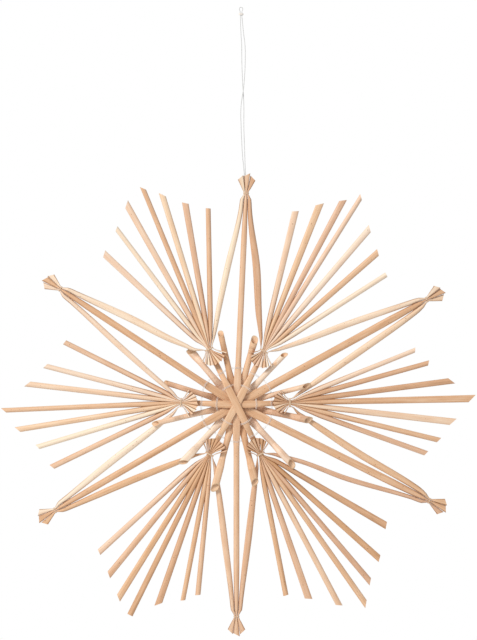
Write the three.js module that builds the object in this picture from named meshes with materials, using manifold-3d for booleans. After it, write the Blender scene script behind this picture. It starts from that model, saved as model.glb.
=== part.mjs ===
// A hanging star made of rye straws that are tied with thread, about 40 cm across.
// The origin is the top of its hanging loop. +Z is up, +X is to the right and -Y is the front.
// Places around the star are named after the hours of a clock face seen from the front.

import * as THREE from 'three';
import { mergeVertices } from 'three/addons/utils/BufferGeometryUtils.js';
import Module from 'manifold-3d';

const wasm = await Module();
wasm.setup();

// The middle of the star, under the top of the loop.
const STAR_X = -3.8;
const STAR_Z = -334;

// Clear space between pieces that touch.
const GAP = 0.3;

// Straws: mean diameters, a spoke arm's depth, the wall, and a straw's thickness where it is
// pressed flat.
const CROSSBAR_DIAMETER = 4.2;
const FREE_DIAMETER = 4.5;
const TUBE_LEAST_DIAMETER = 4.2;
const TUBE_MOST_DIAMETER = 5.2;
const TUBE_MIDDLE_DIAMETER = 4.6;
const ARM_DEPTH = 3.9;
const EDGE_DEPTH = 4;
const TUBE_DEPTH = 4;
const TUBE_WALL = 0.5;
const FLAT = 0.8;

// The middle of the star: straws lie on each other, pressed flat, and grow round outwards. Each row
// has a distance from the middle, a straw's thickness there, and the share that it has come from
// its layer to the depth at which it is round. The threads cross at the second and last rows.
const LAYER = FLAT + GAP;
const FLAT_ROW = { radius: 7.5, deep: FLAT, share: 0 };
const PRESSED_ROW = { radius: 16.8, deep: 1.1, share: 0.1 };
const SPOKE_ROWS = [
  FLAT_ROW, PRESSED_ROW, { radius: 27, deep: 1.6, share: 0.5 }, { radius: 31.2, deep: 2.6, share: 1 },
];
const CROSSBAR_ROWS = [
  FLAT_ROW, PRESSED_ROW, { radius: 21, deep: 2.6, share: 0.35 }, { radius: 29.3, deep: 3.2, share: 1 },
];
const TUBE_ROUND_RADIUS = 30.2;
const ROUNDNESS = 0.93;
const SPOKE_ROUND_Y = -1.1;
const CROSSBAR_ROUND_Y = -0.2;
const TUBE_ROUND_Y = 0.6;
const TUBE_SPREAD = 0.25;
const ARM_ROUND_RADIUS = 36;
const TUBE_FREE_RADIUS = 55;
const TUBE_BEHIND = { radius: 45, y: 1.5 };

// Spoke tips: three straws side by side, pinched at the neck, tied, and spread beyond the tie.
const ARM_TAPER = 45;
const SIDE_BY_SIDE = 14;
const SIDE_BY_SIDE_SHARE = 0.76;
const NECK = 5.5;
const NECK_WIDTH = 3.1;
const NECK_DEPTH = 4.4;
const HALF_TIE = 1;
const TIE_WIDTH = 1.4;
const TIE_DEPTH = 2.8;
const TIE_PITCH = TIE_WIDTH + GAP;
const BLADE_FOOT = 4.5;
const BLADE_FOOT_WIDTH = 2.6;
const BLADE_FOOT_DEPTH = 1.3;
const BLADE_FOOT_Y = 0.95;
const BLADE_LENGTH = 15.5;
const BLADE_WIDTH = 5.6;
const SIDE_BLADE_LENGTH = 13;
const SIDE_BLADE_WIDTH = 5.4;
const SIDE_BLADE_REACH = 5.2;
const SIDE_BLADE_Y = 1.35;
const BLADE_SLANT = 0.5;

// Fans: nine straws stand on edge in a tie, and their short ends spread towards the middle.
const EDGE_PLACE = 4;
const EDGE_TIED_PLACE = 5.2;
const PLEAT = 0.6;
const PLEAT_FUSION = 1.1;
const OUTER_FUSION = 0.85;
const TIED_PLEAT_DEPTH = 4.8;
const TIED_Y = 0.75;
const FLARE_DEPTH = 4.2;
const FLARE_LENGTH = 14;
const FLARE_Y = -3.5;
const EDGE_FLARE_SHARE = 0.5;
const FREE_Y = 0.9;
const FREE_DEPTH = 4.6;
const FREE_PLACES = [14, 30];
const CROSSBAR_END_Y = 3.6;
const CROSSBAR_ENDS = [2, 4];
const CROSSBAR_END_WIDTH = 3.2;
const CROSSBAR_END_DEPTH = 0.9;
const CROSSBAR_PASSING = { before: 9, y: 2.6, wide: 4.6, deep: 2.2 };

// Threads.
const TIE_THREAD = 0.6;
const WEAVE_THREAD = 0.6;
const LOOP_THREAD = 0.6;

// The tie of each spoke tip: hour, bearing from the middle in degrees, distance from it, and the
// width of the spoke's arm.
const TIPS = [
  { hour: 12, bearing: 87.4, radius: 177.8, wide: 4.9 },
  { hour: 2, bearing: 28.9, radius: 182.5, wide: 6.3 },
  { hour: 4, bearing: -26.5, radius: 181, wide: 6.3 },
  { hour: 6, bearing: -90, radius: 177.8, wide: 5 },
  { hour: 8, bearing: -149.8, radius: 176.4, wide: 5.5 },
  { hour: 10, bearing: 146.7, radius: 177, wide: 5.5 },
];

// Each spoke, frontmost first, from tip to tip through the middle.
const SPOKES = [
  { hours: [12, 6], layer: -2 },
  { hours: [2, 8], layer: -1 },
  { hours: [4, 10], layer: 0 },
];

// Each crossbar, frontmost first, from fan to fan in front of the spokes.
const CROSSBARS = [
  { hours: [11, 5], layer: -5 },
  { hours: [1, 7], layer: -4 },
  { hours: [3, 9], layer: -3 },
];

// Each short tube behind the spokes. Its two ends have a bearing, the distance and width of the
// mouth's middle, its depth, which is negative in front of the straws beside it, the slant of the
// cut seen from the front, and how far the back wall reaches past the front one.
const TUBES = [
  { layer: 1, ends: [[74.4, 56.5, 6.1, -1.5, -0.2, 7], [255.4, 71.8, 6.4, -3.7, -0.4, 7.5]] },
  { layer: 2, ends: [[102.5, 61.1, 5, -1.5, 0, 5.4], [283.4, 66.8, 6.4, -3.7, -0.4, 6]] },
  { layer: 3, ends: [[46.2, 58, 4.6, -1, 0.6, 5], [227, 66, 6.4, -3.7, -0.8, 5]] },
  { layer: 4, ends: [[15.1, 61, 4.2, -3.2, -0.5, 7.5], [193, 69.7, 4.3, -3.9, 0, 6.5]] },
  { layer: 5, ends: [[130.6, 59, 6.8, 3.7, -0.3, 5], [313, 68, 5.9, -3.7, -0.4, 8]] },
  { layer: 6, ends: [[163, 62, 4.6, 3.6, 0, 4], [348, 61.7, 6.1, -3.4, 0.5, 6]] },
];

// Each fan: where its tie is, how its short ends spread, and its seven free straws. The spread has
// the turn in degrees and the length of the leftmost end, then of the rightmost one, seen from the
// middle. A free straw has a bearing, a length, its mouth's width and the slant of its cut.
const FANS = [
  {
    hour: 3, tips: [2, 4], bearing: 2.1, radius: 45, spread: [46, 10.5, 50, 7.5],
    straws: [[22.8, 114, 3.9, 0.5], [16, 121, 4.2, 0.5], [7.7, 137, 5.2, -1], [1.3, 153, 6.2, 1],
      [-6.7, 138, 6, 0.9], [-14.1, 129, 4.5, 0.6], [-20.4, 122, 4.6, 0.45]],
  },
  {
    hour: 1, tips: [12, 2], bearing: 62.8, radius: 50.5, spread: [43, 8.5, 46, 11.5],
    straws: [[77.3, 120.5, 5.6, -0.3], [69.2, 132, 6, -0.7], [62.3, 143, 5.4, -0.7],
      [57.8, 153, 4, 0.9], [49.2, 136, 5.4, 0.7], [40.9, 126.7, 5.3, 0.5], [32, 121.2, 4.2, 0.1]],
  },
  {
    hour: 11, tips: [10, 12], bearing: 116.4, radius: 52, spread: [42, 10, 43, 12.5],
    straws: [[137.7, 119, 5.6, -0.5], [127.5, 127.5, 4, -0.6], [119.6, 140, 5.4, -0.9],
      [112.3, 146, 4.1, 1], [106.8, 135.6, 5, 0.9], [99.2, 124.3, 5.4, 0.4], [90.3, 118.3, 4.2, 0.1]],
  },
  {
    hour: 9, tips: [8, 10], bearing: 177.9, radius: 46.7, spread: [48, 11, 50, 10],
    straws: [[206.5, 121, 4.8, -0.5], [197.2, 126, 4.4, -0.5], [189.4, 139, 4.8, -0.9],
      [182.5, 149, 4, -1.1], [173.1, 130, 4.8, 1], [164.9, 118, 4.4, 0.6], [152.6, 110, 4.4, 0.2]],
  },
  {
    hour: 7, tips: [6, 8], bearing: 241.4, radius: 47.4, spread: [40, 12.5, 44, 8.5],
    straws: [[265.3, 118.6, 4.5, -0.2], [259.7, 124.7, 4, -0.3], [251.2, 133.2, 5.6, -0.8],
      [243.7, 150.7, 5, 0], [237.7, 143, 5.4, 0.7], [230.2, 132, 5.4, 0.6], [221.6, 124, 5, 0.3]],
  },
  {
    hour: 5, tips: [4, 6], bearing: 295.9, radius: 46.2, spread: [50, 8.6, 42, 9.5],
    straws: [[330.4, 121.5, 6, -0.35], [318.7, 133, 5.4, -0.5], [310.7, 141.4, 5, -0.8],
      [305.1, 154, 5, -1], [297.5, 143, 5, 0.6], [288.4, 128, 6, 0.4], [280.2, 120.5, 4.5, -0.1]],
  },
];

// Each edge straw, named after its fan and tip: its width, and how far it bows away from the spoke
// at EDGE_PLACES and at its middle. Those in front pass in front of the short tube's end.
const EDGES = {
  '3_2': { wide: 5.9, bow: [0.7, 1.1, 1.5] },
  '3_4': { wide: 6.2, bow: [-1, -1.3, -1.1] },
  '1_12': { wide: 6.4, bow: [1.1, 1, 2.2] },
  '1_2': { wide: 5.6, bow: [-0.4, -0.4, 0.8] },
  '11_10': { wide: 6.2, bow: [-2.8, -2.8, -0.6], inFront: true },
  '11_12': { wide: 5.3, bow: [0.7, 1.3, 1.2] },
  '9_8': { wide: 6, bow: [-0.7, -0.5, 0.5] },
  '9_10': { wide: 5, bow: [0.8, 1.2, 1.3], inFront: true },
  '7_6': { wide: 5.6, bow: [-0.5, -0.7, -0.3] },
  '7_8': { wide: 6, bow: [-1, -1.2, -1.1] },
  '5_4': { wide: 4.4, bow: [-1, -1.7, 0.9] },
  '5_6': { wide: 5.8, bow: [1, 0.8, 0.9] },
};
const EDGE_FRONT_Y = -1.6;
const EDGE_BACK_Y = 2.2;
const EDGE_PLACES = [9, 33];
const EDGE_WIDTHS = [2.6, 3.6];
const EDGE_FAR_SHARE = 0.86;
const EDGE_CROSSING = 16;

// The hanging loop's thread, from behind the top tie up, over the top and down again.
const LOOP_ROUTE = [
  [2.9, 2.45, -152.4], [2.9, 2.6, -148], [2.85, 2.4, -142], [2.3, 1.2, -135], [1.4, 0.4, -127],
  [0.5, 0, -111.7], [0, 0, -99.1], [-0.2, -0.1, -86.5], [0.9, -0.5, -76], [1.9, -0.55, -69.7],
  [2.8, -0.3, -60.5], [3.5, 0, -45], [3.3, 0, -32], [1.9, 0, -20.2], [0.9, 0, -9.5],
  [0.55, 0, -6], [0.9, 0, -3.4], [1.4, 0, -1.7], [1, 0, -0.5], [0, 0, -0.3],
  [-1, 0, -0.5], [-1.4, 0, -1.7], [-0.9, 0, -3.4], [-0.55, 0, -6], [-0.5, 0, -9.5],
  [-0.2, 0, -20.2], [0.5, 0, -32], [0.6, 0, -45], [1.2, 0.3, -60.5], [1.7, 0.55, -69.7],
  [2.1, 0.5, -76], [2.4, 0.1, -86.5], [2.3, 0, -99.1], [2.7, 0, -111.7], [3.2, 0.4, -127],
  [3.5, 1.2, -135], [3.85, 2.4, -142], [3.9, 2.6, -148], [3.9, 2.45, -152.4],
];
const KNOT_Z = -6;
const KNOT_STRAND = 0.55;
const LOOP_STEPS = 60;

// Colours.
const STRAW_COLOUR = 0xe3bc94;
const PALE_STRAW_COLOUR = 0xefd2ae;
const THREAD_COLOUR = 0xf2ece0;

const SIDES = 6;
const TUBE_SIDES = 8;
const DEPTH_AXIS = new THREE.Vector3(0, 1, 0);

const material = (color, roughness) => new THREE.MeshStandardMaterial({ color, roughness, metalness: 0 });

const star = new THREE.Group();
star.position.set(STAR_X, 0, STAR_Z);
const model = new THREE.Group();
model.add(star);

function addMesh(group, name, geometry, finish) {
  const mesh = new THREE.Mesh(geometry, finish);
  mesh.name = name;
  group.add(mesh);
  return mesh;
}

// A point of the star's plane, from a bearing in degrees, with a depth.
function polar(radius, bearing, y = 0) {
  const angle = THREE.MathUtils.degToRad(bearing);
  return new THREE.Vector3(radius * Math.cos(angle), y, radius * Math.sin(angle));
}

// The direction in the star's plane that is a quarter turn anticlockwise of another.
const leftOf = (direction) => new THREE.Vector3(-direction.z, 0, direction.x);

// The other dimension of a round straw that is pressed to a given one, with the same girth.
function pressed(diameter, given) {
  const half = Math.PI / 2;
  if (given <= diameter) return given + half * (diameter - given);
  return Math.max(1.4, (half * diameter - given) / (half - 1));
}

// One closed straw through its stations. Each has a point, a width in the star's plane and a depth.
// Slant is how far the left edge of a cut lies ahead of its middle, over the half width, and tilt
// is how far its back lies ahead, over the half depth.
function straw(stations, sides = SIDES) {
  const count = stations.length;
  const widest = sides % 4 === 0 ? 1 : Math.cos(Math.PI / sides);
  const geometry = new THREE.CylinderGeometry(1, 1, 1, sides, count - 1);
  const place = geometry.attributes.position;
  const corner = new THREE.Vector3();
  for (let i = 0; i < place.count; i += 1) {
    corner.fromBufferAttribute(place, i);
    const index = Math.round((0.5 - corner.y) * (count - 1));
    const { at, wide, deep, slant = 0, tilt = 0 } = stations[index];
    const before = stations[Math.max(index - 1, 0)].at;
    const after = stations[Math.min(index + 1, count - 1)].at;
    const along = after.clone().sub(before).setY(0).normalize();
    const across = DEPTH_AXIS.clone().cross(along);
    const sideways = (corner.x * wide) / (2 * widest);
    const back = (corner.z * deep) / 2;
    const moved = at.clone()
      .addScaledVector(across, sideways)
      .addScaledVector(DEPTH_AXIS, back)
      .addScaledVector(along, tilt * back - slant * sideways);
    place.setXYZ(i, moved.x, moved.y, moved.z);
  }
  geometry.deleteAttribute('normal');
  geometry.deleteAttribute('uv');
  return mergeVertices(geometry, 1e-4);
}

// A thread along a closed ring of points. At each point, reference gives a direction across it.
function threadRing(points, thickness, reference) {
  const sides = 4;
  const count = points.length;
  const geometry = new THREE.TorusGeometry(1, 1, sides, count);
  const place = geometry.attributes.position;
  for (let i = 0; i < place.count; i += 1) {
    const index = (i % (count + 1)) % count;
    const turn = (Math.floor(i / (count + 1)) % sides) * ((2 * Math.PI) / sides);
    const tangent = points[(index + 1) % count].clone().sub(points[(index + count - 1) % count]).normalize();
    const first = reference(points[index]);
    const second = first.clone().cross(tangent).normalize();
    const moved = points[index].clone()
      .addScaledVector(first, (Math.cos(turn) * thickness) / 2)
      .addScaledVector(second, (Math.sin(turn) * thickness) / 2);
    place.setXYZ(i, moved.x, moved.y, moved.z);
  }
  geometry.deleteAttribute('normal');
  geometry.deleteAttribute('uv');
  return mergeVertices(geometry, 1e-4);
}

// A tie round a bundle: a rounded rectangle in the plane across the bundle's direction.
function tie(centre, direction, halfWide, halfDeep) {
  const across = leftOf(direction);
  const corners = 12;
  const squareness = 0.6;
  const bend = (value) => Math.sign(value) * Math.abs(value) ** squareness;
  const points = [];
  for (let i = 0; i < corners; i += 1) {
    const angle = ((i + 0.5) / corners) * 2 * Math.PI;
    points.push(centre.clone()
      .addScaledVector(across, halfWide * bend(Math.cos(angle)))
      .addScaledVector(DEPTH_AXIS, halfDeep * bend(Math.sin(angle))));
  }
  return threadRing(points, TIE_THREAD, () => direction.clone().normalize());
}

function solidOf(geometry) {
  return new wasm.Manifold(new wasm.Mesh({
    numProp: 3,
    vertProperties: new Float32Array(geometry.attributes.position.array),
    triVerts: new Uint32Array(geometry.index.array),
  }));
}

function geometryOf(solid) {
  const { vertProperties, triVerts } = solid.getMesh();
  const geometry = new THREE.BufferGeometry();
  geometry.setAttribute('position', new THREE.BufferAttribute(vertProperties, 3));
  geometry.setIndex(new THREE.BufferAttribute(triVerts, 1));
  return geometry;
}

const tipAt = (hour) => TIPS.find((tip) => tip.hour === hour);
const fanAt = (hour) => FANS.find((fan) => fan.hour === hour);
const armDiameter = (tip) => (tip.wide + ARM_DEPTH) / 2;

// A straw at one of the rows that it passes between the middle and where it is round.
function rowStation(bearing, layer, diameter, roundY, { radius, deep, share }) {
  const layerY = layer * LAYER;
  const at = polar(radius, bearing, layerY + share * (roundY - layerY));
  return { at, wide: pressed(diameter, deep), deep };
}

const rowStations = (rows, ...place) => rows.map((row) => rowStation(...place, row));

const hubMiddle = (layer, diameter) => ({
  at: new THREE.Vector3(0, layer * LAYER, 0),
  wide: pressed(diameter, FLAT),
  deep: FLAT,
});

// The outer half of a spoke: out from the middle, into the tip tie and on as a flat blade.
function spokeArm(tip, layer) {
  const { bearing, radius, wide } = tip;
  const at = (along) => polar(radius + along, bearing);
  return [
    ...rowStations(SPOKE_ROWS, bearing, layer, armDiameter(tip), SPOKE_ROUND_Y),
    { at: polar(ARM_ROUND_RADIUS, bearing, SPOKE_ROUND_Y), wide, deep: ARM_DEPTH },
    { at: at(-ARM_TAPER), wide, deep: ARM_DEPTH },
    { at: at(-SIDE_BY_SIDE), wide: wide * SIDE_BY_SIDE_SHARE, deep: ARM_DEPTH },
    { at: at(-NECK), wide: NECK_WIDTH, deep: NECK_DEPTH },
    { at: at(-HALF_TIE), wide: TIE_WIDTH, deep: TIE_DEPTH },
    { at: at(HALF_TIE), wide: TIE_WIDTH, deep: TIE_DEPTH },
    { at: at(BLADE_FOOT), wide: BLADE_FOOT_WIDTH, deep: BLADE_FOOT_DEPTH },
    { at: at(BLADE_LENGTH), wide: BLADE_WIDTH, deep: FLAT, slant: BLADE_SLANT },
  ];
}

const mirrored = (stations) => stations.map((station) => ({ ...station, slant: -(station.slant ?? 0) }));

// A whole straw, from one arm's end through the middle to the other's. The first arm is turned
// round, so its cuts tilt the other way.
function acrossTheMiddle(first, second, middle) {
  const turned = mirrored(first).map((station) => ({ ...station, tilt: -(station.tilt ?? 0) }));
  return [...turned.reverse(), middle, ...second];
}

function makeSpokes() {
  for (const { hours, layer } of SPOKES) {
    const tips = hours.map(tipAt);
    const arms = tips.map((tip) => spokeArm(tip, layer));
    const middle = hubMiddle(layer, (armDiameter(tips[0]) + armDiameter(tips[1])) / 2);
    const stations = acrossTheMiddle(arms[0], arms[1], middle);
    addMesh(star, `spoke_${hours.join('_')}`, straw(stations), material(STRAW_COLOUR, 0.5));
  }
}

// The outer half of a crossbar: it goes behind the fan's spread ends and into the fan's tie.
function crossbarArm({ bearing, radius }, layer) {
  const { before, y, wide, deep } = CROSSBAR_PASSING;
  const end = { wide: CROSSBAR_END_WIDTH, deep: CROSSBAR_END_DEPTH };
  return [
    ...rowStations(CROSSBAR_ROWS, bearing, layer, CROSSBAR_DIAMETER, CROSSBAR_ROUND_Y),
    { at: polar(radius - before, bearing, y), wide, deep },
    { at: polar(radius - CROSSBAR_ENDS[0], bearing, CROSSBAR_END_Y), ...end },
    { at: polar(radius + CROSSBAR_ENDS[1], bearing, CROSSBAR_END_Y), ...end },
  ];
}

function makeCrossbars() {
  for (const { hours, layer } of CROSSBARS) {
    const arms = hours.map((hour) => crossbarArm(fanAt(hour), layer));
    const stations = acrossTheMiddle(arms[0], arms[1], hubMiddle(layer, CROSSBAR_DIAMETER));
    addMesh(star, `crossbar_${hours.join('_')}`, straw(stations), material(STRAW_COLOUR, 0.5));
  }
}

const tubeRoundY = (layer) => TUBE_ROUND_Y + TUBE_SPREAD * layer * LAYER;
const tubeDiameter = (wide) => THREE.MathUtils.clamp(wide, TUBE_LEAST_DIAMETER, TUBE_MOST_DIAMETER);
const tubeRows = (diameter) => [
  FLAT_ROW, PRESSED_ROW, { radius: TUBE_ROUND_RADIUS, deep: ROUNDNESS * diameter, share: 1 },
];

// The outer half of a short tube: it opens, round and hollow, at a slanted and tilted cut.
function tubeArm([bearing, radius, wide, endY, slant, opening], layer) {
  const diameter = tubeDiameter(wide);
  const deep = Math.min(pressed(diameter, wide), TUBE_DEPTH);
  return [
    ...rowStations(tubeRows(diameter), bearing, layer, diameter, tubeRoundY(layer)),
    { at: polar(TUBE_BEHIND.radius, bearing, TUBE_BEHIND.y), wide: Math.min(wide, diameter), deep },
    { at: polar(Math.min(TUBE_FREE_RADIUS, radius - 4), bearing, endY), wide, deep },
    { at: polar(radius, bearing, endY), wide, deep, slant, tilt: opening / deep },
  ];
}

function makeTubes() {
  const clearOfEnd = 6;
  const thinner = (station) => ({
    ...station, wide: station.wide - 2 * TUBE_WALL, deep: station.deep - 2 * TUBE_WALL,
  });
  for (const { layer, ends } of TUBES) {
    const arms = ends.map((end) => tubeArm(end, layer));
    const middle = hubMiddle(layer, TUBE_MIDDLE_DIAMETER);
    let solid = solidOf(straw(acrossTheMiddle(arms[0], arms[1], middle), TUBE_SIDES));
    for (const arm of arms) {
      const [inner, outer] = arm.slice(-2);
      const past = outer.at.clone().sub(inner.at).setLength(clearOfEnd).add(outer.at);
      const bore = [inner, outer, { ...outer, at: past }].map(thinner);
      solid = solid.subtract(solidOf(straw(bore, TUBE_SIDES)));
    }
    const name = `short_tube_${String(Math.round(ends[0][0] / 15) * 15).padStart(3, '0')}`;
    addMesh(star, name, geometryOf(solid), material(PALE_STRAW_COLOUR, 0.5));
  }
}

// A fan's tie and the directions there: out along the fan's axis, and to its left.
function fanFrame(fan) {
  const centre = polar(fan.radius, fan.bearing);
  const out = centre.clone().normalize();
  return { centre, out, left: leftOf(out) };
}

// The short end of a straw at a place counted from the fan's axis, positive on the left. The ends
// spread evenly from the axis to the edge straw's on each side.
function shortEnd(fan, place, bulk) {
  const { centre, out, left } = fanFrame(fan);
  const [leftTurn, leftLength, rightTurn, rightLength] = fan.spread;
  const [turn, length] = place > 0 ? [leftTurn, leftLength] : [-rightTurn, rightLength];
  const share = Math.min(Math.abs(place) / EDGE_PLACE, 1);
  const angle = THREE.MathUtils.degToRad(turn * share);
  const reach = FLARE_LENGTH + (length - FLARE_LENGTH) * share ** 2;
  const room = PLEAT + (reach * THREE.MathUtils.degToRad(Math.abs(turn))) / EDGE_PLACE;
  const at = centre.clone()
    .addScaledVector(out, -reach * Math.cos(angle))
    .addScaledVector(left, reach * Math.sin(angle) + place * PLEAT)
    .setY(FLARE_Y);
  return { at, wide: room * bulk, deep: FLARE_DEPTH };
}

// A straw's middle in its fan's tie.
function inFanTie(fan, place, along = 0) {
  const { centre, out, left } = fanFrame(fan);
  return centre.clone().addScaledVector(left, place * PLEAT).addScaledVector(out, along);
}

function freeStraw(fan, index) {
  const [bearing, reach, mouth, slant] = fan.straws[index];
  const gaps = [fan.straws[index - 1], fan.straws[index + 1]].filter(Boolean)
    .map((other) => THREE.MathUtils.degToRad(Math.abs(other[0] - bearing)));
  const spread = gaps.reduce((sum, gap) => sum + gap, 0) / gaps.length;
  const place = (fan.straws.length - 1) / 2 - index;
  const start = inFanTie(fan, place);
  const end = fanFrame(fan).centre.add(polar(reach, bearing));
  const free = FREE_PLACES.map((distance) => {
    const room = (PLEAT + distance * spread) * PLEAT_FUSION;
    const wide = Math.min(FREE_DIAMETER, room);
    const at = start.clone().lerp(end, distance / start.distanceTo(end)).setY(FREE_Y);
    return { at, wide, deep: Math.min(pressed(FREE_DIAMETER, wide), FREE_DEPTH) };
  });
  const isOutermost = gaps.length < 2;
  return [
    shortEnd(fan, place, isOutermost ? OUTER_FUSION : PLEAT_FUSION),
    { at: start, wide: PLEAT * PLEAT_FUSION, deep: TIED_PLEAT_DEPTH },
    ...free,
    { at: end, wide: mouth, deep: Math.min(pressed(FREE_DIAMETER, mouth), FREE_DEPTH), slant },
  ];
}

function makeFans() {
  for (const fan of FANS) {
    const solids = fan.straws.map((_, index) => solidOf(straw(freeStraw(fan, index))));
    const solid = solids.reduce((joined, part) => joined.add(part));
    addMesh(star, `fan_${fan.hour}`, geometryOf(solid), material(PALE_STRAW_COLOUR, 0.5));
    const { centre, out } = fanFrame(fan);
    const halfWide = (EDGE_TIED_PLACE + 0.5) * PLEAT + 3 * GAP + TIE_THREAD / 2;
    const halfDeep = TIED_PLEAT_DEPTH / 2 + TIED_Y + 2 * GAP + TIE_THREAD / 2;
    const ring = tie(centre.setY(TIED_Y), out, halfWide, halfDeep);
    addMesh(star, `fan_tie_${fan.hour}`, ring, material(THREAD_COLOUR, 0.7));
  }
}

// An edge straw: the outermost of a fan, on to the tie of the tip beside it.
function edgeStraw(fan, tip, side) {
  const { wide, bow, inFront } = EDGES[`${fan.hour}_${tip.hour}`];
  const place = side * EDGE_TIED_PLACE;
  const aside = leftOf(polar(1, tip.bearing));
  const byTip = (along, offset, y = 0) => polar(tip.radius + along, tip.bearing)
    .addScaledVector(aside, -side * offset).setY(y);
  const start = inFanTie(fan, place);
  const end = byTip(-HALF_TIE, TIE_PITCH);
  const chord = end.clone().sub(start);
  const length = chord.length();
  chord.normalize();
  const outward = leftOf(chord).multiplyScalar(-side);
  const along = (distance, offset, y) => start.clone()
    .addScaledVector(chord, distance).addScaledVector(outward, offset).setY(y);
  const crossingY = inFront ? EDGE_FRONT_Y : EDGE_BACK_Y;
  const [near, far] = EDGE_PLACES;
  const crossingBow = THREE.MathUtils.mapLinear(EDGE_CROSSING, near, far, bow[0], bow[1]);
  const besideWidth = Math.min(wide, tip.wide) * SIDE_BY_SIDE_SHARE;
  const armWidth = tip.wide * SIDE_BY_SIDE_SHARE;
  const tied = { wide: PLEAT, deep: TIED_PLEAT_DEPTH };
  const inTie = { wide: TIE_WIDTH, deep: TIE_DEPTH - 0.4 };
  return straw([
    shortEnd(fan, place, EDGE_FLARE_SHARE),
    { at: inFanTie(fan, place, -HALF_TIE / 2), ...tied },
    { at: inFanTie(fan, place, HALF_TIE / 2), ...tied },
    { at: along(near, bow[0], crossingY), wide: EDGE_WIDTHS[0], deep: EDGE_DEPTH },
    { at: along(EDGE_CROSSING, crossingBow, crossingY), wide: EDGE_WIDTHS[1], deep: EDGE_DEPTH },
    { at: along(far, bow[1], crossingY), wide: wide * EDGE_FAR_SHARE, deep: EDGE_DEPTH },
    { at: along(length / 2, bow[2], crossingY / 2), wide, deep: EDGE_DEPTH },
    { at: byTip(-SIDE_BY_SIDE, (besideWidth + armWidth) / 2 + GAP), wide: besideWidth, deep: EDGE_DEPTH },
    { at: byTip(-NECK, NECK_WIDTH + GAP), wide: NECK_WIDTH, deep: NECK_DEPTH },
    { at: end, ...inTie },
    { at: byTip(HALF_TIE, TIE_PITCH), ...inTie },
    {
      at: byTip(BLADE_FOOT, BLADE_FOOT_WIDTH + 0.1, side * BLADE_FOOT_Y),
      wide: BLADE_FOOT_WIDTH,
      deep: BLADE_FOOT_DEPTH,
    },
    {
      at: byTip(SIDE_BLADE_LENGTH, SIDE_BLADE_REACH, side * SIDE_BLADE_Y),
      wide: SIDE_BLADE_WIDTH,
      deep: FLAT,
      slant: side * BLADE_SLANT,
    },
  ]);
}

function makeEdgeStraws() {
  for (const fan of FANS) {
    for (const hour of fan.tips) {
      const tip = tipAt(hour);
      const turn = THREE.MathUtils.euclideanModulo(tip.bearing - fan.bearing, 360);
      const side = turn < 180 ? 1 : -1;
      const name = `edge_straw_${fan.hour}_${hour}`;
      addMesh(star, name, edgeStraw(fan, tip, side), material(STRAW_COLOUR, 0.5));
    }
  }
}

function makeTipTies() {
  for (const { hour, bearing, radius } of TIPS) {
    const halfWide = TIE_PITCH + TIE_WIDTH / 2 + GAP + TIE_THREAD / 2;
    const halfDeep = TIE_DEPTH / 2 + GAP + TIE_THREAD / 2;
    const ring = tie(polar(radius, bearing), polar(1, bearing), halfWide, halfDeep);
    addMesh(star, `tip_tie_${hour}`, ring, material(THREAD_COLOUR, 0.7));
  }
}

// A thread round the middle. Each crossing has the bearing, distance and depth of a straw's middle
// there, its half width and half depth, and the side on which the thread passes: -1 in front, 1
// behind. Between two straws the thread goes straight through the middle of the slit.
function weave(crossings) {
  const clear = GAP + WEAVE_THREAD / 2;
  const shoulder = 0.6;
  const points = [];
  crossings.sort((a, b) => a.bearing - b.bearing);
  const slitBeside = (crossing, other, y) => {
    const away = THREE.MathUtils.euclideanModulo(other.bearing - crossing.bearing + 180, 360) - 180;
    const radius = (crossing.radius + other.radius) / 2;
    const apart = radius * THREE.MathUtils.degToRad(Math.abs(away));
    const share = (apart + crossing.halfWide - other.halfWide) / (2 * apart);
    return polar(radius, crossing.bearing + away * share, y);
  };
  crossings.forEach((crossing, i) => {
    const { bearing, radius, y, halfDeep, side } = crossing;
    const before = crossings[(i + crossings.length - 1) % crossings.length];
    const after = crossings[(i + 1) % crossings.length];
    const shoulderY = y + side * (shoulder * halfDeep + clear);
    points.push(slitBeside(crossing, before, shoulderY));
    points.push(polar(radius, bearing, y + side * (halfDeep + clear)));
    points.push(slitBeside(crossing, after, shoulderY));
  });
  return threadRing(points, WEAVE_THREAD, (point) => point.clone().setY(0).normalize());
}

// A straw's crossing with the thread that passes it at a row, on one side.
function crossing(bearing, layer, diameter, roundY, row, side) {
  const { at, wide, deep } = rowStation(bearing, layer, diameter, roundY, row);
  return {
    bearing: THREE.MathUtils.euclideanModulo(bearing, 360),
    radius: row.radius,
    y: at.y,
    halfWide: wide / 2,
    halfDeep: deep / 2,
    side,
  };
}

function makeWeaves() {
  const inner = [];
  const outer = [];
  for (const { hours, layer } of SPOKES) {
    for (const tip of hours.map(tipAt)) {
      const place = [tip.bearing, layer, armDiameter(tip), SPOKE_ROUND_Y];
      inner.push(crossing(...place, PRESSED_ROW, 1));
      outer.push(crossing(...place, SPOKE_ROWS.at(-1), -1));
    }
  }
  for (const { hours, layer } of CROSSBARS) {
    for (const { bearing } of hours.map(fanAt)) {
      const place = [bearing, layer, CROSSBAR_DIAMETER, CROSSBAR_ROUND_Y];
      inner.push(crossing(...place, PRESSED_ROW, -1));
      outer.push(crossing(...place, CROSSBAR_ROWS.at(-1), -1));
    }
  }
  for (const { layer, ends } of TUBES) {
    for (const [bearing, , wide] of ends) {
      const diameter = tubeDiameter(wide);
      outer.push(crossing(bearing, layer, diameter, tubeRoundY(layer), tubeRows(diameter).at(-1), 1));
    }
  }
  const finish = material(THREAD_COLOUR, 0.7);
  addMesh(star, 'hub_thread_inner', weave(inner), finish);
  addMesh(star, 'hub_thread_outer', weave(outer), finish);
}

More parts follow.
